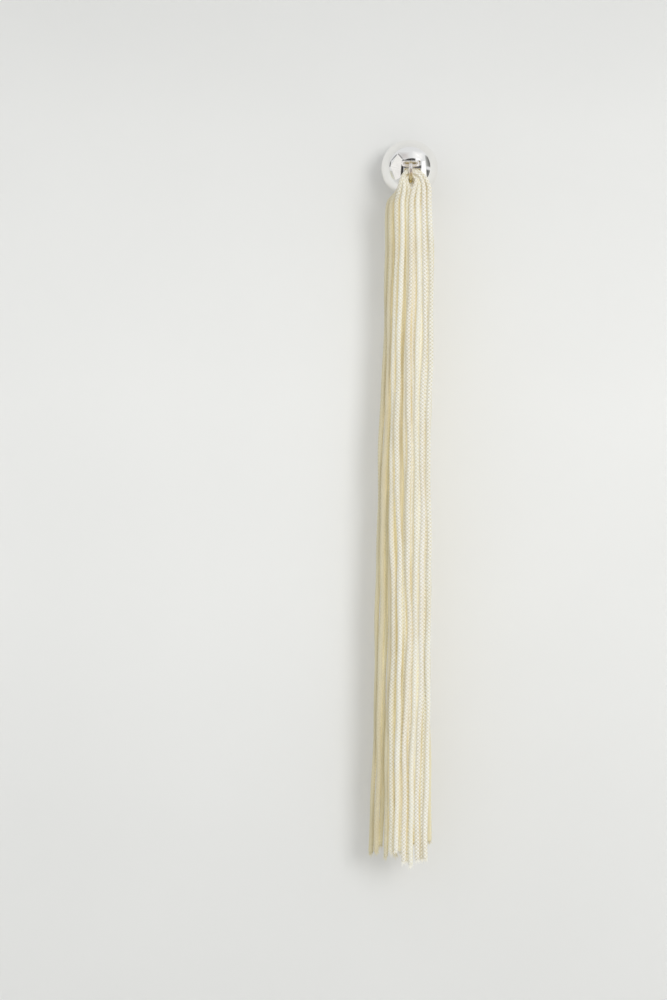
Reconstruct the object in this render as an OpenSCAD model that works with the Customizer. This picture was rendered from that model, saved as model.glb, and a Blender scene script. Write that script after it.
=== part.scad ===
// Tassel earring: a hollow ball stud whose front loop carries a ring of folded cords.
// X runs to the wearer's side, -Y is the front, +Z is up.
// The origin is the back of the ball, where it meets the ear lobe.

/* [Ball and post] */
// Diameter of the polished ball
ball_d = 14; // [12:0.5:17]
// Wall of the hollow ball
ball_wall = 0.6; // [0.4:0.1:1.2]
// Diameter of the ear post
post_d = 0.8; // [0.7:0.05:1]
// Length of the ear post behind the ball, with its round end
post_l = 10.4; // [8:0.2:12]

/* [Wire loop] */
// Width of the wire loop on the front of the ball
loop_w = 4.4; // [4:0.1:5.5]
// Thickness of the loop's wire
loop_wire = 0.5; // [0.4:0.05:0.6]
// How far the middle of the loop's front bar stands off the ball's front
loop_reach = 2.7; // [2.6:0.1:3.4]
// Height of the loop's front bar above the middle of the ball
loop_bar_z = -0.5; // [-1:0.1:0.5]
// Height of the loop's back bar, soldered to the ball, above its middle
loop_seat_z = 0.8; // [0.5:0.1:2]
// Radius of the loop's corners, to the middle of the wire
loop_bend = 0.7; // [0.4:0.1:1]

/* [Jump ring] */
// Outer diameter of the ring that hangs on the loop
ring_d = 5.4; // [5.2:0.1:5.6]
// Thickness of the ring's wire
ring_wire = 0.8; // [0.6:0.05:0.85]

/* [Tassel] */
// Diameter of a hanging cord
cord_d = 1.15; // [0.95:0.05:1.2]
// Diameter of a cord where the ring squeezes it
fold_cord_d = 0.7; // [0.6:0.02:0.72]
// Drop from the top of the fold to the longest tip
tassel_l = 168; // [100:2:220]
// Drop of the bend at the fold, down to where the cords hang free
bend_drop = 5.3; // [4.5:0.1:8]
// Width of the tassel across its tips
tassel_w = 15; // [14:0.5:20]
// Distance from one layer of cords to the next, front to back
layer_pitch = 1; // [1:0.05:1.5]
// How much further back the left side hangs than the right
back_lean = 3.5; // [2:0.1:4.5]

/* [Hidden] */

// Smoothness of the round metal, sides of a cord and steps between two levels
round_fn = 48;
cord_sides = 8;
level_steps = 2;
bend_steps = 4;

// Play between the loop's bar and the ring, and between the ring and the cords
play = 0.1;
cord_play = 0.2;
// How deep the middle of the loop's back bar lies in the ball's face
solder_depth = 0.1;

ball_r = ball_d / 2;
post_r = post_d / 2;
loop_r = loop_wire / 2;
ring_r = ring_wire / 2;
ring_mid_r = ring_d / 2 - ring_r;
ring_in_r = ring_d / 2 - ring_wire;

// The bar's place, and the ring that hangs on it
bar_y = -ball_d - loop_reach;
ring_z = loop_bar_z + loop_r + play - ring_in_r;

// The bundle in the ring: closely packed columns of two and three cords, front to back
cord_space = 0.02;
middle_column = 2;
fold_pitch_z = fold_cord_d + cord_space;
fold_pitch_y = sin(60) * fold_pitch_z;
fold_half_y = middle_column * fold_pitch_y + fold_cord_d / 2;
fold_half_z = fold_pitch_z + fold_cord_d / 2;
fold_z = ring_z - ring_in_r + fold_half_z + cord_play;
fold_top_z = fold_z + fold_half_z;
free_z = fold_top_z - bend_drop;

// The tassel's sides from above to below, as its width changes and it drifts left.
// Columns: drop as a share of the free length, left side and right side as shares of
// the tassel's width, how far the cords have gone over to their place below, and the
// distance between layers as a share of their pitch.
SIDES = [
    [0.000, -0.31, 0.34, 0.0, 1.00],
    [0.015, -0.39, 0.34, 0.5, 1.00],
    [0.090, -0.41, 0.37, 1.0, 1.00],
    [0.240, -0.46, 0.35, 1.0, 1.03],
    [0.390, -0.52, 0.33, 1.0, 1.00],
    [0.540, -0.57, 0.33, 1.0, 1.03],
    [0.690, -0.59, 0.33, 1.0, 1.08],
    [0.840, -0.63, 0.31, 1.0, 1.10],
    [1.000, -0.67, 0.33, 1.0, 1.18],
];
DROP = 0;
LEFT = 1;
RIGHT = 2;
OVER = 3;
DEEP = 4;

// The cords that show. Columns: side of the ring, place in the fold, layer from the
// front at the bend and below, length as a share of the tassel's, then the place
// across the tassel at each level of SIDES, in hundredths of its width there.
SHOWN = [
    [-1, 7, 3.0, 3.0, 0.987, [14, 5, 6, 6, 6, 6, 6, 6, 4]],
    [-1, 5, 1.8, 2.0, 0.985, [17, 12, 13, 14, 14, 13, 13, 12, 12]],
    [-1, 8, 2.5, 3.0, 0.975, [25, 19, 21, 21, 21, 21, 20, 20, 19]],
    [-1, 3, 1.4, 2.0, 0.990, [27, 27, 30, 28, 28, 28, 28, 28, 27]],
    [-1, 0, 0.6, 1.0, 0.983, [19, 23, 25, 24, 26, 31, 34, 34, 35]],
    [-1, 2, 0.0, 0.0, 0.980, [31, 35, 36, 32, 36, 42, 46, 44, 45]],
    [-1, 4, 1.4, 2.0, 0.988, [39, 39, 43, 42, 44, 46, 48, 46, 42]],
    [-1, 1, 0.5, 1.0, 0.984, [43, 46, 48, 49, 51, 53, 54, 53, 51]],
    [1, 1, 0.0, 0.0, 0.996, [54, 55, 54, 53, 57, 59, 60, 57, 55]],
    [1, 4, 1.3, 0.8, 0.994, [57, 60, 61, 63, 65, 67, 66, 65, 63]],
    [1, 3, 0.3, 0.0, 1.000, [67, 69, 69, 71, 71, 73, 71, 70, 66]],
    [1, 0, 0.0, 0.0, 0.992, [80, 82, 81, 84, 82, 84, 82, 80, 76]],
    [1, 5, 1.2, 0.7, 0.991, [87, 88, 89, 89, 89, 90, 88, 88, 85]],
    [1, 2, 0.4, 0.0, 0.990, [94, 94, 95, 95, 95, 95, 95, 94, 91]],
];
SIDE = 0;
PLACE = 1;
LAYER = 2;
LAYER_BELOW = 3;
LENGTH = 4;
ACROSS = 5;

// The cords behind them. Columns: side, place in the fold, layer at the bend and
// below, then the place across at the bend and below, in hundredths of the width.
BEHIND = [
    [-1, 6, 2.7, 2.0, 43, 57],
    [-1, 9, 3.8, 3.0, 26, 38],
    [-1, 10, 3.7, 3.0, 39, 51],
    [-1, 11, 4.6, 3.0, 47, 64],
    [1, 6, 1.5, 0.6, 70, 77],
    [1, 9, 2.5, 2.0, 57, 71],
    [1, 8, 2.7, 2.0, 70, 84],
    [1, 7, 2.2, 2.0, 82, 96],
    [1, 11, 3.7, 3.0, 59, 77],
    [1, 10, 3.8, 3.0, 74, 90],
];
AT_BEND = 4;
AT_TIP = 5;

// They wander across, and their lengths differ a little. Turns are in degrees, from one
// cord to the next and from the top to the tips.
wander = 1.5;
wander_turn = 70;
wander_wave = 300;
behind_length = 0.975;
length_spread = 0.01;
length_turn = 137;
function behind_leg(row, k) = [
    row[SIDE],
    row[PLACE],
    row[LAYER],
    row[LAYER_BELOW],
    behind_length + length_spread * sin(length_turn * k),
    [for (level = SIDES) row[AT_BEND] + level[OVER] * (row[AT_TIP] - row[AT_BEND]
        + wander * sin(wander_turn * k + wander_wave * level[DROP]))],
];
LEGS = concat(SHOWN, [for (k = [0 : 1 : len(BEHIND) - 1]) behind_leg(BEHIND[k], k)]);

// Height and depth of a cord's place in the ring, in columns of 2, 3, 2, 3 and 2
COLUMN_OF = [0, 0, 1, 1, 1, 2, 2, 3, 3, 3, 4, 4];
ROW_OF = [0.5, -0.5, 1, 0, -1, 0.5, -0.5, 1, 0, -1, 0.5, -0.5];
function fold_point(place) = [
    0,
    bar_y + (COLUMN_OF[place] - middle_column) * fold_pitch_y,
    fold_z + ROW_OF[place] * fold_pitch_z,
];

// Point of a hanging cord at one level of SIDES: the layer that hangs below the bar, and
// how far the whole tassel sways from front to back
middle_layer = 1.4;
sway = 0.35;
sway_wave = 400;
function level_point(leg, j) = let (
    row = SIDES[j],
    share = leg[ACROSS][j] / 100,
    left = row[LEFT] * tassel_w,
    right = row[RIGHT] * tassel_w,
    layer = leg[LAYER] + (leg[LAYER_BELOW] - leg[LAYER]) * row[OVER],
    back = back_lean * row[OVER] * pow(1 - share, 2)
        + sway * sin(sway_wave * row[DROP])
) [
    left + (right - left) * share,
    bar_y + (layer - middle_layer) * layer_pitch * row[DEEP] + back,
    free_z - (leg[LENGTH] * tassel_l - bend_drop) * row[DROP],
];

// Smooth curve through the level points: slope at a level, then a point between two
function slope(points, j) = let (
    a = max(j - 1, 0),
    b = min(j + 1, len(points) - 1)
) (points[b] - points[a]) / (SIDES[b][DROP] - SIDES[a][DROP]);
function between(points, j, t) = let (
    h = SIDES[j + 1][DROP] - SIDES[j][DROP],
    t2 = t * t,
    t3 = t2 * t
) (2 * t3 - 3 * t2 + 1) * points[j] + (t3 - 2 * t2 + t) * h * slope(points, j)
    + (3 * t2 - 2 * t3) * points[j + 1] + (t3 - t2) * h * slope(points, j + 1);

// Bend from the ring, out to one side and down to the first level: its handle beside the
// ring, outwards and upwards, its handle at the first level, and where a leg's own skin
// starts, as a share of the bend
bend_out = 2.4;
bend_rise = 1.2;
bend_in = 2.2;
bend_start = 0.35;
function bend_point(leg, points, t) = let (
    a = fold_point(leg[PLACE]),
    b = a + [leg[SIDE] * bend_out, 0, ROW_OF[leg[PLACE]] * bend_rise],
    d = points[0],
    c = d - unit(slope(points, 0)) * bend_in,
    u = 1 - t
) u * u * u * a + 3 * u * u * t * b + 3 * u * t * t * c + t * t * t * d;

function leg_points(leg) = let (
    points = [for (j = [0 : 1 : len(SIDES) - 1]) level_point(leg, j)]
) concat(
    [for (i = [0 : 1 : bend_steps - 1])
        bend_point(leg, points, bend_start + (1 - bend_start) * i / bend_steps)],
    [for (j = [0 : 1 : len(SIDES) - 2]) each
        [for (i = [0 : 1 : level_steps - 1]) between(points, j, i / level_steps)]],
    [points[len(points) - 1]]
);

// A cord is squeezed at the fold, full below it and tapered at its tip
tip_share = 0.7;
function leg_radius(i, last) = let (
    grow = min(1, bend_start + (1 - bend_start) * i / bend_steps)
) (fold_cord_d + (cord_d - fold_cord_d) * grow) / 2 * (i == last ? tip_share : 1);

function unit(v) = v / norm(v);
function ring_of(points, i, r, sides) = let (
    last = len(points) - 1,
    along = unit(points[min(i + 1, last)] - points[max(i - 1, 0)]),
    across = unit(cross(along, [0, 1, 0])),
    up = cross(across, along)
) [for (k = [0 : 1 : sides - 1])
    points[i] + r * (cos(360 * k / sides) * across + sin(360 * k / sides) * up)];

// Closed skin over rings of equal size, each pair joined by two triangles a side
module skin(rings) {
    n = len(rings[0]);
    m = len(rings);
    walls = [for (i = [0 : 1 : m - 2], k = [0 : 1 : n - 1]) each [
        [i * n + k, i * n + (k + 1) % n, (i + 1) * n + k],
        [i * n + (k + 1) % n, (i + 1) * n + (k + 1) % n, (i + 1) * n + k],
    ]];
    first = [for (k = [n - 1 : -1 : 0]) k];
    final = [for (k = [0 : 1 : n - 1]) (m - 1) * n + k];
    polyhedron([for (r = rings) each r], concat(walls, [first, final]));
}

module leg(row) {
    points = leg_points(row);
    last = len(points) - 1;
    skin([for (i = [0 : 1 : last])
        ring_of(points, i, leg_radius(i, last), cord_sides)]);
}

// The fused fold: a saddle through the ring, waisted there and wider at both ends, by
// these shares of its depth and thickness
saddle_r = 2.2;
saddle_end = 75;
saddle_steps = 8;
saddle_sides = 16;
saddle_deeper = 0.7;
saddle_thicker = 0.26;
function saddle_ring(angle) = let (
    open = pow(sin(angle), 2),
    deep = (fold_half_y - play / 2) * (1 + saddle_deeper * open),
    thick = fold_half_z * (1 + saddle_thicker * open)
) [for (k = [0 : 1 : saddle_sides - 1]) let (
    a = 360 * k / saddle_sides,
    r = saddle_r + thick * cos(a)
) [r * sin(angle), bar_y + deep * sin(a), fold_z - saddle_r + r * cos(angle)]];

module saddle() {
    skin([for (i = [0 : 1 : saddle_steps])
        saddle_ring(saddle_end * (2 * i / saddle_steps - 1))]);
}

// Closed wire loop in its own plane: its back bar runs through the origin along X and
// its front bar lies so far forward, towards -Y
module wire_loop(length) {
    half = loop_w / 2 - loop_r;
    straight = half - loop_bend;
    for (side = [-1, 1]) {
        translate([side * half, -loop_bend, 0]) rotate([90, 0, 0])
            cylinder(h = length - 2 * loop_bend, r = loop_r);
        translate([side * straight, loop_bend - length, 0])
            rotate([0, 0, side > 0 ? -90 : 180]) wire_bend();
        translate([side * straight, -loop_bend, 0])
            rotate([0, 0, side > 0 ? 0 : 90]) wire_bend();
    }
    for (y = [0, -length])
        translate([-straight, y, 0]) rotate([0, 90, 0]) cylinder(h = 2 * straight, r = loop_r);
}

// A quarter turn of the loop's wire
module wire_bend() rotate_extrude(angle = 90) translate([loop_bend, 0]) circle(loop_r);

module ball_stud() color("silver") {
    seat_y = -ball_r - sqrt(pow(ball_r - solder_depth, 2) - pow(loop_seat_z, 2));
    run = seat_y - bar_y;
    fall = loop_seat_z - loop_bar_z;
    difference() {
        union() {
            translate([0, -ball_r, 0]) sphere(ball_r, $fn = 2 * round_fn);
            translate([0, seat_y, loop_seat_z]) rotate([atan2(fall, run), 0, 0])
                wire_loop(norm([run, fall]), $fn = round_fn);
            translate([0, -ball_wall / 2, 0]) rotate([-90, 0, 0])
                cylinder(h = post_l - post_r + ball_wall / 2, r = post_r, $fn = round_fn);
            translate([0, post_l - post_r, 0]) sphere(post_r, $fn = round_fn);
        }
        translate([0, -ball_r, 0]) sphere(ball_r - ball_wall, $fn = 2 * round_fn);
    }
}

module jump_ring() color("gainsboro")
    translate([0, bar_y, ring_z]) rotate([0, 90, 0])
        rotate_extrude($fn = round_fn)
            translate([ring_mid_r, 0]) circle(ring_r, $fn = round_fn);

module tassel() color("ivory") union() {
    saddle();
    for (row = LEGS) leg(row);
}

ball_stud();
jump_ring();
tassel();
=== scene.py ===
"""Looks of the tassel earring: braided satin cords folded through a ring on a polished ball stud.

Lengths are in millimetres here and are turned into metres as the meshes are made.
X runs to the side, -Y is the front, +Z is up; the origin is the back of the ball.
"""

import math
from collections import namedtuple

import bpy
import numpy as np
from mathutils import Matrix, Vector


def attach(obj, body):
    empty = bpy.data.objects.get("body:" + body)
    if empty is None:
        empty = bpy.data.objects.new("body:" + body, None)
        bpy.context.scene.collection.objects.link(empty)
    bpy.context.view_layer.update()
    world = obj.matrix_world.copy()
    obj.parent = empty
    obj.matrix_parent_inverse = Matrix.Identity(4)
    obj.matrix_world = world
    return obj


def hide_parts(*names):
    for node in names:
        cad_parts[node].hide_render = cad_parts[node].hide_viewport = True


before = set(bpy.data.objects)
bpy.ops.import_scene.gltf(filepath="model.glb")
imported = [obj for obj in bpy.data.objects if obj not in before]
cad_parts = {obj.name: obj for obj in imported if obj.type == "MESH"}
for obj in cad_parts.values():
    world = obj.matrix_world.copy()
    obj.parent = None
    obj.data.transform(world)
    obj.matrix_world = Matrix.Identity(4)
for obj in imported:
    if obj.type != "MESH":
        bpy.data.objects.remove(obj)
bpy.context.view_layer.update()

MM = 0.001

# The photograph's framing
PHOTO_W = 667
PHOTO_H = 1000
MM_PER_PX = 0.2456
BALL_PX = (409.5, 168.5)
BALL_D = 14.0
CAMERA_DISTANCE = 650.0
SENSOR = 36.0

# The cords' route, with the values of the part's source
LOOP_REACH = 2.7
LOOP_BAR_Z = -0.5
LOOP_WIRE = 0.5
RING_D = 5.4
RING_WIRE = 0.8
CORD_D = 1.15
FOLD_CORD_D = 0.7
TASSEL_L = 168.0
BEND_DROP = 5.3
TASSEL_W = 15.0
LAYER_PITCH = 1.0
BACK_LEAN = 3.5
PLAY = 0.1
CORD_PLAY = 0.2
CORD_SPACE = 0.02
BAR_Y = -BALL_D - LOOP_REACH
RING_IN_R = RING_D / 2 - RING_WIRE
RING_Z = LOOP_BAR_Z + LOOP_WIRE / 2 + PLAY - RING_IN_R
FOLD_PITCH_Z = FOLD_CORD_D + CORD_SPACE
FOLD_PITCH_Y = math.sin(math.radians(60)) * FOLD_PITCH_Z
FOLD_HALF_Z = FOLD_PITCH_Z + FOLD_CORD_D / 2
FOLD_Z = RING_Z - RING_IN_R + FOLD_HALF_Z + CORD_PLAY
FREE_Z = FOLD_Z + FOLD_HALF_Z - BEND_DROP

# Sides of the tassel from above to below. Columns: drop, left, right, over, deep.
SIDES = np.array([
    [0.000, -0.31, 0.34, 0.0, 1.00],
    [0.015, -0.39, 0.34, 0.5, 1.00],
    [0.090, -0.41, 0.37, 1.0, 1.00],
    [0.240, -0.46, 0.35, 1.0, 1.03],
    [0.390, -0.52, 0.33, 1.0, 1.00],
    [0.540, -0.57, 0.33, 1.0, 1.03],
    [0.690, -0.59, 0.33, 1.0, 1.08],
    [0.840, -0.63, 0.31, 1.0, 1.10],
    [1.000, -0.67, 0.33, 1.0, 1.18],
])
DROP, LEFT, RIGHT, OVER, DEEP = SIDES.T

# Legs that show. Columns: side, place, layer at the bend and below, length, places across.
SHOWN = [
    [-1, 7, 3.0, 3.0, 0.987, [14, 5, 6, 6, 6, 6, 6, 6, 4]],
    [-1, 5, 1.8, 2.0, 0.985, [17, 12, 13, 14, 14, 13, 13, 12, 12]],
    [-1, 8, 2.5, 3.0, 0.975, [25, 19, 21, 21, 21, 21, 20, 20, 19]],
    [-1, 3, 1.4, 2.0, 0.990, [27, 27, 30, 28, 28, 28, 28, 28, 27]],
    [-1, 0, 0.6, 1.0, 0.983, [19, 23, 25, 24, 26, 31, 34, 34, 35]],
    [-1, 2, 0.0, 0.0, 0.980, [31, 35, 36, 32, 36, 42, 46, 44, 45]],
    [-1, 4, 1.4, 2.0, 0.988, [39, 39, 43, 42, 44, 46, 48, 46, 42]],
    [-1, 1, 0.5, 1.0, 0.984, [43, 46, 48, 49, 51, 53, 54, 53, 51]],
    [1, 1, 0.0, 0.0, 0.996, [54, 55, 54, 53, 57, 59, 60, 57, 55]],
    [1, 4, 1.3, 0.8, 0.994, [57, 60, 61, 63, 65, 67, 66, 65, 63]],
    [1, 3, 0.3, 0.0, 1.000, [67, 69, 69, 71, 71, 73, 71, 70, 66]],
    [1, 0, 0.0, 0.0, 0.992, [80, 82, 81, 84, 82, 84, 82, 80, 76]],
    [1, 5, 1.2, 0.7, 0.991, [87, 88, 89, 89, 89, 90, 88, 88, 85]],
    [1, 2, 0.4, 0.0, 0.990, [94, 94, 95, 95, 95, 95, 95, 94, 91]],
]

# Legs behind them. Columns: side, place, layer at the bend and below, place across there.
BEHIND = [
    [-1, 6, 2.7, 2.0, 43, 57],
    [-1, 9, 3.8, 3.0, 26, 38],
    [-1, 10, 3.7, 3.0, 39, 51],
    [-1, 11, 4.6, 3.0, 47, 64],
    [1, 6, 1.5, 0.6, 70, 77],
    [1, 9, 2.5, 2.0, 57, 71],
    [1, 8, 2.7, 2.0, 70, 84],
    [1, 7, 2.2, 2.0, 82, 96],
    [1, 11, 3.7, 3.0, 59, 77],
    [1, 10, 3.8, 3.0, 74, 90],
]
WANDER = 1.5
WANDER_TURN = 70
WANDER_WAVE = 300
BEHIND_LENGTH = 0.975
LENGTH_SPREAD = 0.01
LENGTH_TURN = 137

# Columns and rows of the cords' places in the fold, and the layer that hangs below the bar
MIDDLE_COLUMN = 2
COLUMN_OF = [0, 0, 1, 1, 1, 2, 2, 3, 3, 3, 4, 4]
ROW_OF = [0.5, -0.5, 1, 0, -1, 0.5, -0.5, 1, 0, -1, 0.5, -0.5]
MIDDLE_LAYER = 1.4

# Small stray bends of each cord, across and from front to back: how far, how long, and the
# start of the wave. Each has a second wave, so much weaker and so many times shorter. They
# fade in over the first drop.
STRAY = [(0.16, 47.0, 0.0), (0.14, 61.0, 0.5)]
STRAY_PER_CORD = 0.37
STRAY_SECOND = 0.5
STRAY_SHORTER = 2.3
STRAY_FADE = 30.0

# How plain and even each leg's braid looks, in the order of SHOWN and then BEHIND
PLAIN = [0.9, 0.8, 0.9, 0.7, 0.35, 0.3, 0.6, 0.6, 0.05, 0.6, 0.5, 0.0, 0.15, 0.0] + [0.6] * 10

# How far the legs sway from front to back, and the shape of the bend out of the fold
SWAY = 0.35
SWAY_WAVE = 400
BEND_OUT = 2.4
BEND_RISE = 1.2
BEND_IN = 2.2

# Points of a leg's line for each level, and how often the cord's line and the values along
# it are smoothed: at the fold, over so many points either side, and over the whole cord
LEG_STEPS = 48
FOLD_SMOOTH = 40
FOLD_REACH = 14
ROUTE_SMOOTH = 12
LOOKS_REACH = 10

# The braid: yarns that lean each way round a cord, its pitch, and how far they stand up
YARNS = 3
BRAID_PITCH = 0.88
CORD_SIDES = 4 * YARNS
BRAID_ROW = BRAID_PITCH / 4
BRAID_HIGH = 0.22
BEHIND_FLAT = 0.55
BRAID_LEAN = 0.14
YARN_ROUND = 0.7
YARN_EDGE = 0.15
YARN_LEVEL = 0.7
CORD_FULL = 1.09
OVAL = 0.07
OVAL_TURNS = 9
TWIST = 0.5
TWIST_WAVE = 9
TIP_SQUEEZE = np.array([0.80, 0.92])
TIP_CAP = 0.12
THREADS = 5
YARN_SOFT = 0.6

# Looks of a leg along its length: painted shade from one layer to another, which fades in below the
# fold and is gone at a cord's back, how plain the braid is, its hue and its tone. A wave is its
# size and its turn over the length in radians, and each leg's starts at its own place.
SHADE_FROM = 0.7
SHADE_LAYER = 2.2
SHADE_FADE = 0.1
BACK_FADE = 0.6
PLAIN_FLAT = 0.55
PLAIN_COLOUR = 0.75
PLAIN_LESS = 0.35
PLAIN_WAVE = (0.25, 9)
HUE_EACH = 0.7
HUE_WAVE = (0.3, 14)
LEG_START = 2.4
TONE_WAVE = (0.25, 25)
TONE_START = 2.1
TONE_EACH = 0.5

# Loose ends at the cut tips: each tip has so many, the first of them ends of yarns and the
# others single fibres
Ends = namedtuple("Ends", "reach thick")
YARN_END = Ends(reach=(0.3, 1.0), thick=(0.10, 0.15))
FIBRE_END = Ends(reach=(0.4, 1.5), thick=(0.03, 0.05))
FRAY_PER_TIP = 20
YARN_ENDS = 8
FRAY_SIDES = 5
FRAY_STEPS = 4
FRAY_ROOT = 0.3
FRAY_START = 0.2
FRAY_AREA = 0.75
FRAY_OUT = (-0.05, 0.45)
FRAY_STRAY = 0.08
FRAY_TAPER = 0.7

# Painted glow, as emission, for the light that comes through the cords where others shut them in:
# its strength, more of it in the cords that lie behind, less near the fold, and its colour
THROUGH = 0.17
THROUGH_BEHIND = 0.07
THROUGH_COLOUR = (1.0, 0.915, 0.615)
FOLD_DIM = 0.6
FOLD_FADE = 12.0

# A point counts as shut in from one share of blocked directions to another, looking out of
# it by these turns in degrees. The legs behind count as shut in at least so much, and more
# light comes through the legs towards the left; both fade in below the fold.
CLOSE_TURNS = (-75, -50, -25, 0, 25, 50, 75)
CLOSE_SOFT = 0.15
CLOSE_FROM = 0.35
CLOSE_FULL = 0.85
DEEP_CLOSE = 0.5
DEEP_FADE = 0.2
LEFT_GLOW = 0.6
LEFT_FROM = 60
LEFT_RANGE = 20
LEFT_FADE = 0.25


def sin_deg(angle):
    return np.sin(np.radians(angle))


def behind_leg(row, k):
    side, place, layer, layer_below, at_bend, at_tip = row
    wave = WANDER * sin_deg(WANDER_TURN * k + WANDER_WAVE * DROP)
    across = at_bend + OVER * (at_tip - at_bend + wave)
    length = BEHIND_LENGTH + LENGTH_SPREAD * sin_deg(LENGTH_TURN * k)
    return [side, place, layer, layer_below, length, across]


Leg = namedtuple("Leg", "side place layer layer_below length across plain number")
ROWS = SHOWN + [behind_leg(row, k) for k, row in enumerate(BEHIND)]
LEGS = [Leg(*row, plain, n) for n, (row, plain) in enumerate(zip(ROWS, PLAIN))]


def unit(v):
    return v / np.linalg.norm(v, axis=-1, keepdims=True)


def level_points(leg):
    """Where a leg passes each level of SIDES."""
    share = np.array(leg.across) / 100
    layer = leg.layer + (leg.layer_below - leg.layer) * OVER
    back = BACK_LEAN * OVER * (1 - share) ** 2 + SWAY * sin_deg(SWAY_WAVE * DROP)
    return np.stack([
        (LEFT + (RIGHT - LEFT) * share) * TASSEL_W,
        BAR_Y + (layer - MIDDLE_LAYER) * LAYER_PITCH * DEEP + back,
        FREE_Z - (leg.length * TASSEL_L - BEND_DROP) * DROP,
    ], axis=1)


def slope(points, j):
    a, b = max(j - 1, 0), min(j + 1, len(points) - 1)
    return (points[b] - points[a]) / (DROP[b] - DROP[a])


def leg_looks(leg, down):
    """Shade, plainness, hue, depth and glow of one leg, at these shares of its length."""
    shade = np.clip((leg.layer_below - SHADE_FROM) / (SHADE_LAYER - SHADE_FROM), 0, 1)
    high, wave = PLAIN_WAVE
    plain = leg.plain * (1 - PLAIN_LESS * down)
    plain = np.clip(plain + high * np.sin(wave * down + LEG_START * leg.number), 0, 1)
    high, wave = HUE_WAVE
    hue = HUE_EACH * math.sin(LEG_START * leg.number) + high * np.sin(wave * down + leg.number)
    deep = DEEP_CLOSE * (leg.number >= len(SHOWN)) * down ** DEEP_FADE
    left = np.clip((LEFT_FROM - leg.across[-1]) / LEFT_RANGE, 0, 1)
    glow = 1 + LEFT_GLOW * left * np.clip(down / LEFT_FADE, 0, 1)
    return shade * down ** SHADE_FADE, plain, hue, deep, glow


def leg_line(leg):
    """Centre line of one leg, a bend out of the middle of the fold and a smooth curve through
    its levels to the tip, and its radius, shade, plainness, hue, depth and glow along it."""
    points = level_points(leg)
    column, row = COLUMN_OF[leg.place] - MIDDLE_COLUMN, ROW_OF[leg.place]
    start = np.array([0, BAR_Y + column * FOLD_PITCH_Y, FOLD_Z + row * FOLD_PITCH_Z])
    t = np.linspace(0, 1, LEG_STEPS, endpoint=False)[:, None]
    b = start + np.array([leg.side * BEND_OUT, 0, row * BEND_RISE])
    d = points[0]
    c = d - unit(slope(points, 0)) * BEND_IN
    u = 1 - t
    line = [u**3 * start + 3 * u * u * t * b + 3 * u * t * t * c + t**3 * d]
    for j in range(len(points) - 1):
        h = DROP[j + 1] - DROP[j]
        line.append(
            (2 * t**3 - 3 * t**2 + 1) * points[j]
            + (t**3 - 2 * t**2 + t) * h * slope(points, j)
            + (3 * t**2 - 2 * t**3) * points[j + 1]
            + (t**3 - t**2) * h * slope(points, j + 1)
        )
    line.append(points[-1:])
    thick = np.full(LEG_STEPS * len(points) + 1, CORD_D)
    thick[:LEG_STEPS] = FOLD_CORD_D + (CORD_D - FOLD_CORD_D) * t[:, 0]
    down = np.linspace(0, 1, len(thick))
    return np.concatenate(line), thick / 2, *leg_looks(leg, down)


LEG_LINES = [leg_line(leg)[0] for leg in LEGS]


def smooth_line(line, first, last, times):
    """Draws the points from first to last towards the middle of their neighbours."""
    for _ in range(times):
        around = (line[first - 1:last] + line[first + 1:last + 2]) / 2
        line[first:last + 1] = (line[first:last + 1] + around) / 2


def smooth_values(values):
    count = 2 * LOOKS_REACH + 1
    return np.convolve(np.pad(values, LOOKS_REACH, "edge"), np.full(count, 1 / count), "valid")


def cord_line(place):
    """A whole cord, up its left leg, over the fold and down the right: its centre line, and
    its radius, shade, plainness, hue, depth and glow along it."""
    left, right = [
        leg_line(next(leg for leg in LEGS if leg.side == side and leg.place == place))
        for side in (-1, 1)
    ]
    line, radius, *looks = [np.concatenate([a[::-1], b[1:]]) for a, b in zip(left, right)]
    looks = [radius] + [smooth_values(values) for values in looks]
    middle = len(left[0]) - 1
    smooth_line(line, middle - FOLD_REACH, middle + FOLD_REACH, FOLD_SMOOTH)
    along = np.concatenate([[0], np.cumsum(np.linalg.norm(np.diff(line, axis=0), axis=1))])
    rows = int(round(along[-1] / BRAID_ROW))
    at = np.linspace(0, along[-1], rows + 1)
    line = np.stack([np.interp(at, along, line[:, i]) for i in range(3)], axis=1)
    smooth_line(line, 1, rows - 1, ROUTE_SMOOTH)
    free = np.clip((FREE_Z - line[:, 2]) / STRAY_FADE, 0, 1)
    for axis, (far, wave, begin) in enumerate(STRAY):
        turns = 2 * np.pi * (at / wave + STRAY_PER_CORD * place + begin)
        bends = np.sin(turns) + STRAY_SECOND * np.sin(STRAY_SHORTER * turns)
        line[:, axis] += far * free * bends
    return [line] + [np.interp(at, along, values) for values in looks]


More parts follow.
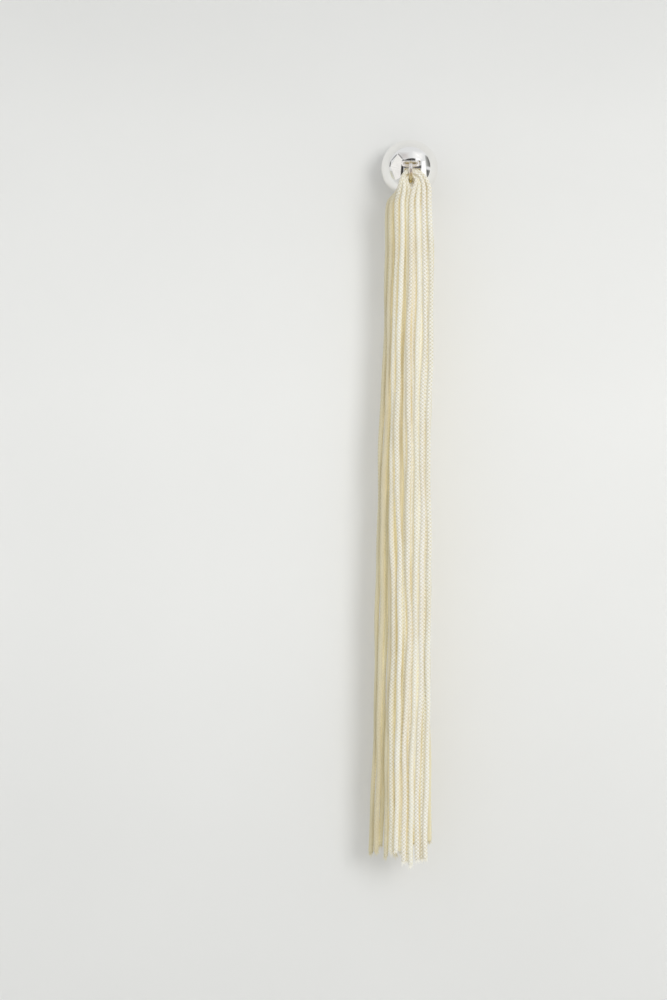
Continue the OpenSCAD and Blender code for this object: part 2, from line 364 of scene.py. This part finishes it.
def closeness(points, out):
    """How much each point is shut in by the other legs at its height, from 0 to 1: the share
    of the directions out of it that they block."""
    own = points[..., :2] - out[..., :2] * CORD_D / 2
    drop = -points[..., 2]
    away = []
    for line in LEG_LINES:
        middle = np.stack([np.interp(drop, -line[:, 2], line[:, i]) for i in (0, 1)], axis=-1)
        other = (drop < -line[-1, 2]) & (np.linalg.norm(own - middle, axis=-1) > CORD_D / 2)
        away.append((other, middle - points[..., :2]))
    face = np.arctan2(out[..., 1], out[..., 0])
    total = 0
    for turn in CLOSE_TURNS:
        angle = face + np.radians(turn)
        x, y = np.cos(angle), np.sin(angle)
        shut = np.zeros(drop.shape)
        for other, to in away:
            ahead = to[..., 0] * x + to[..., 1] * y > 0
            aside = np.abs(to[..., 0] * y - to[..., 1] * x)
            soft = np.clip((CORD_D / 2 - aside) / CLOSE_SOFT, 0, 1)
            shut = np.maximum(shut, other * ahead * soft)
        total = total + shut * math.cos(math.radians(turn))
    share = total / sum(math.cos(math.radians(turn)) for turn in CLOSE_TURNS)
    fold = np.clip((FOLD_Z - points[..., 2]) / FOLD_FADE, 0, 1)
    close = np.clip((share - CLOSE_FROM) / (CLOSE_FULL - CLOSE_FROM), 0, 1)
    return close ** 2 * (1 - FOLD_DIM * (1 - fold))


def make_mesh(name, points, faces, smooth=True):
    """Mesh object from points in millimetres and rows of corner numbers."""
    mesh = bpy.data.meshes.new(name)
    corners = np.concatenate([np.asarray(f, np.int32).ravel() for f in faces])
    totals = np.concatenate([np.full(len(f), np.asarray(f).shape[1], np.int32) for f in faces])
    starts = np.concatenate([[0], np.cumsum(totals)[:-1]]).astype(np.int32)
    mesh.vertices.add(len(points))
    mesh.vertices.foreach_set("co", (np.asarray(points) * MM).astype(np.float32).ravel())
    mesh.loops.add(len(corners))
    mesh.loops.foreach_set("vertex_index", corners)
    mesh.polygons.add(len(totals))
    mesh.polygons.foreach_set("loop_start", starts)
    mesh.polygons.foreach_set("loop_total", totals)
    mesh.polygons.foreach_set("use_smooth", np.full(len(totals), smooth))
    mesh.update(calc_edges=True)
    obj = bpy.data.objects.new(name, mesh)
    bpy.context.scene.collection.objects.link(obj)
    return obj


def grid_faces(rows, sides):
    """Triangles of a tube of so many rings, closed round its sides, as corner and ring
    numbers. Their long edges change direction from quad to quad, as yarns cross."""
    i, k = [g.ravel() for g in np.meshgrid(np.arange(rows - 1), np.arange(sides), indexing="ij")]
    a, b, c, d = [(i + di, k + dk) for di, dk in ((0, 0), (1, 0), (1, 1), (0, 1))]
    even = (i + k) % 2 == 0
    halves = []
    for one, other in (((a, b, c), (a, b, d)), ((a, c, d), (b, c, d))):
        halves.append([
            np.stack([np.where(even, p[n], q[n]) for p, q in zip(one, other)], axis=-1)
            for n in (0, 1)
        ])
    rings = np.concatenate([half[0] for half in halves])
    corners = np.concatenate([half[1] for half in halves])
    return rings, corners


def tube_faces(rows, sides):
    rings, corners = grid_faces(rows, sides)
    return rings * sides + corners % sides


def frames(line):
    """Directions along, across and up at each point of a line that never runs along Y."""
    along = unit(np.gradient(line, axis=0))
    across = unit(np.cross(along, [0.0, 1.0, 0.0]))
    return along, across, np.cross(across, along)


def braid_grid(rows, sides):
    """Height of the yarns, from 0 to 1, and how far each corner leans round and along the
    cord, in radians and millimetres, so that every yarn's hump is long in its own direction."""
    i, k = np.meshgrid(np.arange(rows), np.arange(sides), indexing="ij")
    u, v = (k + i) / 4, (k - i) / 4
    cell = np.floor(u) + np.floor(v)
    fu, fv = u % 1, v % 1
    height = np.abs(np.sin(np.pi * fu) * np.sin(np.pi * fv)) ** YARN_ROUND
    sign = np.where((cell - 1) % 2 == 0, 1, -1)
    lean_u = BRAID_LEAN * sign * ((fu == 0) & (fv == 0.5))
    lean_v = -BRAID_LEAN * sign * ((fv == 0) & (fu == 0.5))
    height = np.where((lean_u != 0) | (lean_v != 0), YARN_EDGE, height)
    return height, (lean_u + lean_v) * np.pi / YARNS, (lean_u - lean_v) / 2 * BRAID_PITCH


def set_attribute(obj, name, values):
    layer = obj.data.attributes.new(name, "FLOAT", "POINT")
    layer.data.foreach_set("value", np.asarray(values, np.float32).ravel())


def set_weave(obj, weave):
    """The braid's own map: one unit across each yarn, in both directions that yarns lean."""
    layer = obj.data.uv_layers.new(name="braid")
    layer.data.foreach_set("uv", np.asarray(weave, np.float32).ravel())


def cap_faces(rows, sides):
    """Triangles that close both ends of a tube onto the two points after its rings."""
    k = np.arange(sides)
    after = (k + 1) % sides
    first, last = rows * sides, rows * sides + 1
    start = (rows - 1) * sides
    return np.concatenate([
        np.stack([k, after, np.full(sides, first)], axis=-1),
        np.stack([start + after, start + k, np.full(sides, last)], axis=-1),
    ])


def make_cord(place, random):
    """One braided cord, folded through the ring, with its two cut tips."""
    line, radius, shade, plain, hue, deep, glow = cord_line(place)
    rows = len(line)
    along, across, up = frames(line)
    turn = random.uniform(0, 2 * np.pi)
    turn = turn + TWIST * np.sin(np.linspace(0, TWIST_WAVE, rows) + place)
    height, lean, shift = braid_grid(rows, CORD_SIDES)
    angle = turn[:, None] + 2 * np.pi * np.arange(CORD_SIDES) / CORD_SIDES + lean
    out = np.cos(angle)[..., None] * across[:, None] + np.sin(angle)[..., None] * up[:, None]
    tip = np.minimum(np.arange(rows), np.arange(rows)[::-1])
    last = len(TIP_SQUEEZE) - 1
    end = np.where(tip <= last, TIP_SQUEEZE[np.minimum(tip, last)], 1.0)
    oval = np.linspace(0, OVAL_TURNS * 2 * np.pi, rows)[:, None] + place
    oval = 1 + OVAL * np.cos(2 * angle - oval)
    front = np.clip(BACK_FADE - out[..., 1], 0, 1)
    shade = shade[:, None] * front
    plain = plain[:, None] * front
    high = BRAID_HIGH * (radius / radius.max())[:, None]
    high = high * (1 - BEHIND_FLAT * shade) * (1 - PLAIN_FLAT * plain)
    r = (CORD_FULL * radius * end)[:, None] * oval + high * (height - YARN_LEVEL)
    points = line[:, None] + r[..., None] * out + shift[..., None] * along[:, None]
    close = closeness(line[:, None] + radius[:, None, None] * out, out)
    close = np.clip(close * glow[:, None], deep[:, None] * front, 1)
    caps = [line[0] - along[0] * TIP_CAP, line[-1] + along[-1] * TIP_CAP]
    points = np.concatenate([points.reshape(-1, 3), caps])
    faces = [tube_faces(rows, CORD_SIDES), cap_faces(rows, CORD_SIDES)]
    obj = make_mesh(f"cord_{place + 1:02d}", points, faces)
    rings, corners = grid_faces(rows, CORD_SIDES)
    weave = np.stack([(corners + rings) / 4, (corners - rings) / 4], axis=-1).reshape(-1, 2)
    set_weave(obj, np.concatenate([weave, np.full((2 * CORD_SIDES * 3, 2), 0.5)]))
    rise, wave = TONE_WAVE
    slow = rise * np.sin(np.linspace(0, wave, rows) + TONE_START * place)
    slow = slow + random.uniform(-TONE_EACH, TONE_EACH)
    for name, values in (("tone", slow), ("hue", hue)):
        set_attribute(obj, name, np.concatenate([np.repeat(values, CORD_SIDES), values[[0, -1]]]))
    for name, values in (("shade", shade), ("plain", plain), ("close", close)):
        set_attribute(obj, name, np.concatenate([values.ravel(), values[[0, -1], 0]]))
    dress(obj, CORD)
    return [(line[0], -along[0], shade[0].max()), (line[-1], along[-1], shade[-1].max())]


def make_fray(tips, random):
    """Loose yarn ends that stand out of each cut tip."""
    points, faces, shades = [], [], []
    for at, along, shade in tips:
        side = unit(np.cross(along, [0.0, 1.0, 0.0]))
        front = np.cross(side, along)
        for n in range(FRAY_PER_TIP):
            a = random.uniform(0, 2 * np.pi)
            r = CORD_D / 2 * math.sqrt(random.uniform(0, FRAY_AREA))
            out = math.cos(a) * side + math.sin(a) * front
            root = at + out * r - along * FRAY_ROOT
            ends = YARN_END if n < YARN_ENDS else FIBRE_END
            reach = random.uniform(*ends.reach)
            bend = out * random.uniform(*FRAY_OUT) + random.normal(0, FRAY_STRAY, 3)
            thick = random.uniform(*ends.thick)
            base = len(points)
            for t in np.linspace(0, 1, FRAY_STEPS):
                middle = root + along * (reach * t + FRAY_START) + bend * t * t
                radius = thick * (1 - FRAY_TAPER * t)
                for k in range(FRAY_SIDES):
                    b = 2 * math.pi * k / FRAY_SIDES
                    points.append(middle + radius * (math.cos(b) * side + math.sin(b) * front))
                    shades.append(shade)
            faces.append(base + tube_faces(FRAY_STEPS, FRAY_SIDES)[:, ::-1])
    obj = make_mesh("cord_tip_fray", np.array(points), faces)
    for name, value in (("tone", 0.3), ("plain", 0.5), ("hue", 0.0), ("close", 0.2)):
        set_attribute(obj, name, np.full(len(points), value))
    set_attribute(obj, "shade", shades)
    set_weave(obj, np.full((len(obj.data.loops), 2), 0.5))
    dress(obj, CORD)


def new_material(name):
    material = bpy.data.materials.new(name)
    material.use_nodes = True
    tree = material.node_tree
    tree.nodes.clear()
    out = tree.nodes.new("ShaderNodeOutputMaterial")
    return material, tree, out


def add(tree, kind, settings=None, **inputs):
    """New node with plain settings; an input is a value or another node's output."""
    node = tree.nodes.new("ShaderNode" + kind)
    for key, value in (settings or {}).items():
        setattr(node, key, value)
    for key, value in inputs.items():
        numbered = key[0] == "i" and key[1:].isdigit()
        socket = node.inputs[int(key[1:]) if numbered else key.replace("_", " ")]
        if isinstance(value, bpy.types.NodeSocket):
            tree.links.new(value, socket)
        else:
            socket.default_value = value
    return node


def ramp(tree, value, stops):
    node = add(tree, "ValToRGB", Fac=value)
    ends = node.color_ramp.elements
    while len(ends) < len(stops):
        ends.new(0.5)
    for end, (place, colour) in zip(ends, stops):
        end.position = place
        end.color = (*colour, 1)
    return node.outputs["Color"]


def math_node(tree, operation, *values):
    return add(tree, "Math", {"operation": operation},
               **{f"i{n}": value for n, value in enumerate(values)}).outputs[0]


def attribute(tree, name):
    return add(tree, "Attribute", {"attribute_name": name}).outputs["Fac"]


def mix_colours(tree, share, one, other, blend="MIX"):
    return add(tree, "Mix", {"data_type": "RGBA", "blend_type": blend},
               i0=share, i6=one, i7=other).outputs[2]


def hump(tree, value, turn):
    """Size of the sine of a value times this turn."""
    sine = math_node(tree, "SINE", math_node(tree, "MULTIPLY", value, turn))
    return math_node(tree, "ABSOLUTE", sine)


def braid_nodes(tree):
    """Height of the yarns and their fine threads, worked out from the braid's own map."""
    weave = add(tree, "UVMap", {"uv_map": "braid"}).outputs["UV"]
    parts = add(tree, "SeparateXYZ", Vector=weave)
    u, v = parts.outputs["X"], parts.outputs["Y"]
    cells = math_node(tree, "ADD", math_node(tree, "FLOOR", u), math_node(tree, "FLOOR", v))
    odd = math_node(tree, "FLOORED_MODULO", cells, 2.0)
    both = math_node(tree, "MULTIPLY", hump(tree, u, math.pi), hump(tree, v, math.pi))
    over = add(tree, "Mix", i0=odd, i2=v, i3=u).outputs[0]
    threads = hump(tree, over, math.pi * THREADS)
    return math_node(tree, "POWER", both, YARN_SOFT), threads


# Colour of the cords by the height of their yarns, lit for the cords in front and in painted shade
# for those behind, the shaded copy darker and more golden, and both darker low between the yarns, a
# painted shade in the grooves. Then what it is multiplied by, by a cord's tone and by its hue. The
# tone has slow clouds in it.
LIT_YARN = [
    (0.0, (0.62, 0.56, 0.375)),
    (0.40, (0.905, 0.864, 0.745)),
    (0.85, (0.985, 0.968, 0.925)),
]
SHADED_YARN = [
    (0.0, (0.65, 0.583, 0.377)),
    (0.6, (0.68, 0.617, 0.425)),
]
TONE_TINT = [(0.2, (0.95, 0.92, 0.86)), (0.8, (1.0, 1.0, 1.0))]
HUE_TINT = [(0.0, (0.988, 1.0, 0.97)), (1.0, (1.0, 0.993, 0.985))]
TONE_SHARE = 0.35
PLAIN_HEIGHT = 0.62

# The cords' finish: roughness from one value to another, how much threads and fibres add to the
# relief of the yarns, how deep it is, and the sheen, and with it the colour of their painted glow
CORD_ROUGH = (0.34, 0.56)
THREAD_RELIEF = 0.25
FIBRE_RELIEF = 0.2
RELIEF_DEPTH = 0.06
RELIEF_SHARE = 0.8
CORD_FINISH_AND_GLOW = {
    "Specular IOR Level": 0.55,
    "Sheen Weight": 0.25,
    "Sheen Roughness": 0.4,
    "Sheen Tint": (1.0, 0.95, 0.82, 1),
    "Emission Color": (*THROUGH_COLOUR, 1),
}


def cord_material():
    """Braided satin cord, from the braid's own map and the attributes of its corners."""
    material, tree, out = new_material("satin_cord")
    high, threads = braid_nodes(tree)
    place = add(tree, "TexCoord").outputs["Object"]
    fine = add(tree, "TexNoise", Vector=place, Scale=9000.0, Detail=3.0, Roughness=0.6)
    slow = add(tree, "TexNoise", Vector=place, Scale=120.0, Detail=2.0)
    shade = attribute(tree, "shade")
    plain = math_node(tree, "MULTIPLY", attribute(tree, "plain"), PLAIN_COLOUR)
    high = add(tree, "Mix", i0=plain, i2=high, i3=PLAIN_HEIGHT).outputs[0]
    # Painted shade: cords that lie behind others take the darker, more golden copy of the colour.
    colour = mix_colours(tree, shade, ramp(tree, high, LIT_YARN), ramp(tree, high, SHADED_YARN))
    tone = math_node(tree, "MULTIPLY_ADD", attribute(tree, "tone"), TONE_SHARE, slow.outputs["Fac"])
    colour = mix_colours(tree, 1.0, colour, ramp(tree, tone, TONE_TINT), "MULTIPLY")
    hue = math_node(tree, "MULTIPLY_ADD", attribute(tree, "hue"), 0.5, 0.5)
    colour = mix_colours(tree, 1.0, colour, ramp(tree, hue, HUE_TINT), "MULTIPLY")
    smooth, coarse = CORD_ROUGH
    rough = add(tree, "MapRange", Value=fine.outputs["Fac"], To_Min=smooth, To_Max=coarse)
    relief = math_node(tree, "MULTIPLY_ADD", threads, THREAD_RELIEF, high)
    relief = math_node(tree, "MULTIPLY_ADD", fine.outputs["Fac"], FIBRE_RELIEF, relief)
    bump = add(tree, "Bump", Strength=RELIEF_SHARE, Distance=RELIEF_DEPTH * MM, Height=relief)
    shader = add(tree, "BsdfPrincipled", Base_Color=colour, Roughness=rough.outputs[0],
                 Normal=bump.outputs[0])
    for name, value in CORD_FINISH_AND_GLOW.items():
        shader.inputs[name].default_value = value
    # Painted glow: emission where other cords shut a cord in, stronger for the cords in painted
    # shade.
    through = math_node(tree, "MULTIPLY_ADD", shade, THROUGH_BEHIND, THROUGH)
    glow = math_node(tree, "MULTIPLY", attribute(tree, "close"), through)
    tree.links.new(glow, shader.inputs["Emission Strength"])
    tree.links.new(shader.outputs[0], out.inputs["Surface"])
    return material


# Silver has slow clouds, so much darker, and fine wear, so deep. The loop's wire is drawn and
# partly matt, not polished like the ball.
SILVER_CLOUD = 0.97
WEAR_DEPTH = 0.004
LOOP_CLEAR = 0.1
LOOP_ROUGH = 0.22
LOOP_MATT = 0.45
LOOP_SILVER = (0.97, 0.925, 0.905, 1)

# Painted reflection of the cords and the loop on the ring, warm, with painted shade low among the
# cords and high in the loop: height, then what its colour is multiplied by
RING_PAINTED_REFLECTION = [
    (-4.8, (0.84, 0.79, 0.52)),
    (-3.4, (0.76, 0.64, 0.36)),
    (-2.4, (0.92, 0.80, 0.70)),
    (-1.2, (0.97, 0.95, 0.95)),
    (-0.35, (1.0, 0.98, 0.97)),
    (-0.10, (0.66, 0.56, 0.38)),
    (0.70, (0.72, 0.64, 0.46)),
]


def height_ramp(tree, place, stops):
    """Colour by height, from stops of a height in millimetres and its colour."""
    z = add(tree, "SeparateXYZ", Vector=place).outputs["Z"]
    low, high = stops[0][0], stops[-1][0]
    share = add(tree, "MapRange", Value=z, From_Min=low * MM, From_Max=high * MM)
    return ramp(tree, share.outputs[0], [((h - low) / (high - low), c) for h, c in stops])


def silver_material(name, colour, bumps, rough_from, rough_to, heights=None):
    """Plated silver. With heights it gets a painted reflection and painted shade by height, and
    without them the loop's wire is rougher, partly matt and a little warmer than the ball."""
    material, tree, out = new_material(name)
    place = add(tree, "TexCoord").outputs["Object"]
    cloud = add(tree, "TexNoise", Vector=place, Scale=260.0, Detail=4.0)
    wear = add(tree, "TexNoise", Vector=place, Scale=2600.0, Detail=6.0, Roughness=0.7)
    base = ramp(tree, cloud.outputs["Fac"], [
        (0.3, tuple(c * SILVER_CLOUD for c in colour)),
        (0.7, colour),
    ])
    metal = 1.0
    rough = add(tree, "MapRange", Value=wear.outputs["Fac"], From_Min=0.35, From_Max=0.75,
                To_Min=rough_from, To_Max=rough_to).outputs[0]
    if heights:
        # With heights: painted reflection of the cords and painted shade on the ring, by height.
        base = mix_colours(tree, 1.0, base, height_ramp(tree, place, heights), "MULTIPLY")
    else:
        y = add(tree, "SeparateXYZ", Vector=place).outputs["Y"]
        wire = math_node(tree, "LESS_THAN", y, (-BALL_D - LOOP_CLEAR) * MM)
        rough = math_node(tree, "MULTIPLY_ADD", wire, LOOP_ROUGH, rough)
        base = mix_colours(tree, wire, base, LOOP_SILVER)
        metal = math_node(tree, "MULTIPLY_ADD", wire, -LOOP_MATT, 1.0)
    bump = add(tree, "Bump", Strength=bumps, Distance=WEAR_DEPTH * MM, Height=wear.outputs["Fac"])
    shader = add(tree, "BsdfPrincipled", Base_Color=base, Metallic=metal, Roughness=rough,
                 Normal=bump.outputs[0])
    tree.links.new(shader.outputs[0], out.inputs["Surface"])
    return material


# The wall's mottled colour, and how bright it is painted at each height, a painted soft pool of
# light. A ramp holds no colour above 1, so it holds half of it.
WALL_COLOURS = [(0.3, (0.80, 0.797, 0.777)), (0.7, (0.82, 0.817, 0.797))]
WALL_PAINTED_LIGHT = [
    (-205.0, 0.945),
    (-155.0, 0.985),
    (-106.0, 1.030),
    (-57.0, 1.045),
    (-20.0, 1.015),
    (12.0, 0.985),
    (40.0, 0.925),
]


def wall_material():
    """Pale matt wall that shows from its front only, so that it hides nothing from behind."""
    material, tree, out = new_material("pale_wall")
    place = add(tree, "TexCoord").outputs["Object"]
    mottle = add(tree, "TexNoise", Vector=place, Scale=14.0, Detail=2.0)
    base = ramp(tree, mottle.outputs["Fac"], WALL_COLOURS)
    # Painted pool of light: brighter at middle heights, darker above and below.
    tone = height_ramp(tree, place, [(height, (bright / 2,) * 3) for height, bright in WALL_PAINTED_LIGHT])
    tone = add(tree, "VectorMath", {"operation": "SCALE"}, Vector=tone, Scale=2.0).outputs[0]
    base = add(tree, "VectorMath", {"operation": "MULTIPLY"}, i0=base, i1=tone).outputs[0]
    matt = add(tree, "BsdfDiffuse", Color=base)
    clear = add(tree, "BsdfTransparent")
    behind = add(tree, "NewGeometry").outputs["Backfacing"]
    mix = add(tree, "MixShader", Fac=behind, i1=matt.outputs[0], i2=clear.outputs[0])
    tree.links.new(mix.outputs[0], out.inputs["Surface"])
    return material


def glow_material(name, left, right, colour):
    """Light with soft clouds in it, from one brightness at the left to another at the right,
    that fades out at its edges."""
    material, tree, out = new_material(name)
    place = add(tree, "TexCoord").outputs["Object"]
    cloud = add(tree, "TexNoise", Vector=place, Scale=9.0, Detail=1.0)
    bright = add(tree, "MapRange", Value=cloud.outputs["Fac"], From_Min=0.3, From_Max=0.7,
                 To_Min=1 - CARD_CLOUD, To_Max=1 + CARD_CLOUD)
    level = add(tree, "Mix", i0=attribute(tree, "across"), i2=left, i3=right).outputs[0]
    glow = add(tree, "Emission", Color=(*colour, 1),
               Strength=math_node(tree, "MULTIPLY", level, bright.outputs[0]))
    clear = add(tree, "BsdfTransparent")
    mix = add(tree, "MixShader", Fac=attribute(tree, "inside"), i1=clear.outputs[0],
              i2=glow.outputs[0])
    tree.links.new(mix.outputs[0], out.inputs["Surface"])
    return material


def dress(obj, material, node="tassel"):
    obj.data.materials.append(material)
    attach(obj, "root")
    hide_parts(node)


def make_camera():
    data = bpy.data.cameras.new("camera")
    camera = bpy.data.objects.new("camera", data)
    bpy.context.scene.collection.objects.link(camera)
    data.sensor_width = SENSOR
    data.lens = SENSOR * CAMERA_DISTANCE / (PHOTO_H * MM_PER_PX)
    data.clip_start, data.clip_end = 0.01, 20
    camera.location = (
        (PHOTO_W / 2 - BALL_PX[0]) * MM_PER_PX * MM,
        (-BALL_D / 2 - CAMERA_DISTANCE) * MM,
        (BALL_PX[1] - PHOTO_H / 2) * MM_PER_PX * MM,
    )
    camera.rotation_euler = (math.pi / 2, 0, 0)
    bpy.context.scene.camera = camera


# The wall behind the earring and the floor below the picture, in millimetres
WALL_Y = 0.05
WALL_TOP = 900.0
WALL_FOOT = -230.0
FLOOR_BEND = 120.0
BEND_STEPS = 13
FLOOR_FRONT = -2200.0
WALL_HALF = 2500.0


def make_wall():
    turn = np.radians(np.linspace(0, 90, BEND_STEPS))
    y = WALL_Y - FLOOR_BEND + FLOOR_BEND * np.cos(turn)
    z = WALL_FOOT - FLOOR_BEND * np.sin(turn)
    profile = np.concatenate([[[WALL_Y, WALL_TOP]], np.stack([y, z], 1), [[FLOOR_FRONT, z[-1]]]])
    points = [(x, *p) for p in profile for x in (-WALL_HALF, WALL_HALF)]
    n = len(profile)
    faces = [[2 * i, 2 * i + 2, 2 * i + 3, 2 * i + 1] for i in range(n - 1)]
    wall = make_mesh("wall", points, [np.array(faces)])
    wall.data.materials.append(wall_material())


# The key light: what it aims at, its direction from there, distance, size and power. The
# ball doesn't mirror it, because the cards stand in for what the ball mirrors.
KEY_AIM = (0.0, 0.0, -60.0)
KEY_DIRECTION = (0.42, -1.0, 0.20)
KEY_DISTANCE = 1100.0
KEY_SIZE = 460.0
KEY_POWER = 3.54
SKY_COLOUR = (0.97, 0.985, 1.0, 1)
SKY = 0.79


def make_key_light():
    data = bpy.data.lights.new("key", "AREA")
    data.shape = "DISK"
    data.size = KEY_SIZE * MM
    data.energy = KEY_POWER
    light = bpy.data.objects.new("key", data)
    bpy.context.scene.collection.objects.link(light)
    toward = unit(np.array(KEY_DIRECTION))
    light.location = (toward * KEY_DISTANCE + np.array(KEY_AIM)) * MM
    light.visible_glossy = False
    light.rotation_mode = "QUATERNION"
    light.rotation_quaternion = Vector(-toward).to_track_quat("-Z", "Y")


def make_world():
    world = bpy.data.worlds.new("studio")
    bpy.context.scene.world = world
    world.use_nodes = True
    back = world.node_tree.nodes["Background"]
    back.inputs["Color"].default_value = SKY_COLOUR
    back.inputs["Strength"].default_value = SKY


# What the ball mirrors, the nearest first: cards that only mirrors see, painted reflections on the
# ball. White and paper ones are painted highlights and bright surroundings, the gold, amber and
# green ones stand in for cords, and the dark and grey ones are darker painted reflections round the
# loop and towards the ball's edges. Columns: name, brightness at the left and the right, how far
# its edges fade in as a share of it, colour, and the corners of its mirror image on the ball's
# face, from upper left to the right and round, as shares of its radius.
WHITE = (1.0, 1.0, 1.0)
PAPER = (1.0, 0.99, 0.97)
DARK = (1.0, 0.95, 0.94)
GREY = (0.98, 1.0, 0.97)
GOLD = (1.0, 0.80, 0.46)
AMBER = (1.0, 0.82, 0.40)
GREEN = (1.0, 1.0, 0.78)
CARDS = [
    ("card_window", 1.3, 1.3, 0.12, WHITE,
     [(0.42, 0.23), (0.52, 0.26), (0.59, -0.34), (0.38, -0.26)]),
    ("card_glint", 1.2, 1.2, 0.3, WHITE,
     [(0.16, 0.34), (0.38, 0.30), (0.38, 0.20), (0.22, 0.24)]),
    ("card_dark_right_upper", 0.45, 0.04, 0.12, GREY,
     [(0.50, 0.45), (0.62, 0.42), (0.79, 0.02), (0.57, 0.03)]),
    ("card_dark_right_lower", 0.06, 0.40, 0.10, GREY,
     [(0.57, -0.04), (0.79, -0.04), (0.72, -0.56), (0.64, -0.46)]),
    ("card_dark_left", 0.05, 0.05, 0.06, DARK,
     [(-0.29, 0.22), (-0.20, 0.22), (-0.24, -0.34), (-0.33, -0.31)]),
    ("card_arc_left", 0.07, 0.05, 0.10, DARK,
     [(-0.28, 0.255), (0.08, 0.305), (0.08, 0.23), (-0.28, 0.15)]),
    ("card_arc_right", 0.07, 0.11, 0.10, DARK,
     [(0.05, 0.305), (0.19, 0.29), (0.19, 0.23), (0.05, 0.23)]),
    ("card_in_loop", 0.36, 0.20, 0.03, GOLD,
     [(-0.18, 0.22), (0.37, 0.22), (0.37, 0.06), (-0.18, 0.06)]),
    ("card_under_loop", 0.11, 0.12, 0.03, DARK,
     [(-0.22, 0.06), (0.41, 0.06), (0.41, -0.05), (-0.22, -0.05)]),
    ("card_below", 0.42, 0.42, 0.02, AMBER,
     [(-0.20, -0.04), (0.38, -0.04), (0.36, -0.82), (-0.20, -0.82)]),
    ("card_edge_right", 0.26, 0.26, 0.15, DARK,
     [(-0.42, 0.49), (-0.37, 0.49), (-0.22, 0.28), (-0.27, 0.27)]),
    ("card_edge_top", 0.20, 0.16, 0.25, GREY,
     [(-0.43, 0.49), (-0.40, 0.45), (-0.63, 0.24), (-0.66, 0.25)]),
    ("card_edge_left", 0.16, 0.16, 0.25, GREY,
     [(-0.67, 0.26), (-0.62, 0.26), (-0.67, 0.04), (-0.72, 0.04)]),
    ("card_dot", 1.5, 1.5, 0.3, WHITE,
     [(-0.81, 0.02), (-0.74, 0.02), (-0.74, -0.05), (-0.81, -0.05)]),
    ("card_edge_lower", 0.60, 0.66, 0.40, GREEN,
     [(-0.84, -0.05), (-0.67, -0.02), (-0.44, -0.60), (-0.62, -0.70)]),
    ("card_reflector_upper", 0.90, 0.88, 0.03, PAPER,
     [(-0.41, 0.46), (-0.25, 0.26), (-0.29, -0.10), (-0.68, 0.06)]),
    ("card_reflector_lower", 0.88, 0.86, 0.03, PAPER,
     [(-0.68, 0.08), (-0.29, -0.08), (-0.29, -0.40), (-0.47, -0.60)]),
    ("card_glow", 1.10, 1.10, 0.5, WHITE,
     [(0.05, 0.58), (0.52, 0.52), (0.50, 0.22), (0.05, 0.26)]),
    ("card_dim", 0.50, 0.70, 0.45, DARK,
     [(-0.42, 0.56), (0.02, 0.52), (0.02, 0.24), (-0.28, 0.22)]),
]
CARD_DISTANCE = 450.0
CARD_APART = 6.0
CARD_CLOUD = 0.04
CARD_STEPS = 24


def make_card(name, left, right, soft, colour, corners, distance):
    """Card of painted reflection that only mirrors see, placed so that its image on the ball has
    these corners.
    """
    a, b, c, d = [np.array(p) for p in corners]
    s, t = np.meshgrid(*[np.linspace(0, 1, CARD_STEPS + 1)] * 2, indexing="ij")
    s, t = s.ravel()[:, None], t.ravel()[:, None]
    flat = (1 - t) * ((1 - s) * a + s * b) + t * ((1 - s) * d + s * c)
    nx, nz = flat[:, 0], flat[:, 1]
    ny = -np.sqrt(1 - nx**2 - nz**2)
    ray = np.stack([-2 * ny * nx, 1 - 2 * ny * ny, -2 * ny * nz], axis=1)
    points = ray * distance + np.array([0, -BALL_D / 2, 0])
    n = CARD_STEPS + 1
    faces = [[i * n + k, i * n + k + 1, (i + 1) * n + k + 1, (i + 1) * n + k]
             for i in range(CARD_STEPS) for k in range(CARD_STEPS)]
    card = make_mesh(name, points, [np.array(faces)])
    set_attribute(card, "across", s)
    edge = np.minimum(np.minimum(s, 1 - s), np.minimum(t, 1 - t))
    set_attribute(card, "inside", np.clip(edge / soft, 0, 1))
    card.data.materials.append(glow_material(name, left, right, colour))
    card.visible_camera = card.visible_diffuse = card.visible_shadow = False


SEED = 7

make_camera()
CORD = cord_material()
random = np.random.default_rng(SEED)
tips = []
for place in range(len(COLUMN_OF)):
    tips += make_cord(place, random)
make_fray(tips, random)

SILVER = silver_material("polished_silver", (0.955, 0.945, 0.925),
                         bumps=0.15, rough_from=0.03, rough_to=0.08)
RING_SILVER = silver_material("ring_silver", (0.88, 0.87, 0.86),
                              bumps=0.3, rough_from=0.08, rough_to=0.16, heights=RING_PAINTED_REFLECTION)
for node, material in (("ball_stud", SILVER), ("jump_ring", RING_SILVER)):
    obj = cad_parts[node]
    obj.data.materials.clear()
    obj.data.materials.append(material)

make_wall()
make_world()
make_key_light()
for i, card in enumerate(CARDS):
    make_card(*card, CARD_DISTANCE + CARD_APART * i)
bpy.context.scene.view_settings.view_transform = "Standard"
bpy.context.scene.cycles.max_bounces = 24
bpy.context.scene.cycles.diffuse_bounces = 16
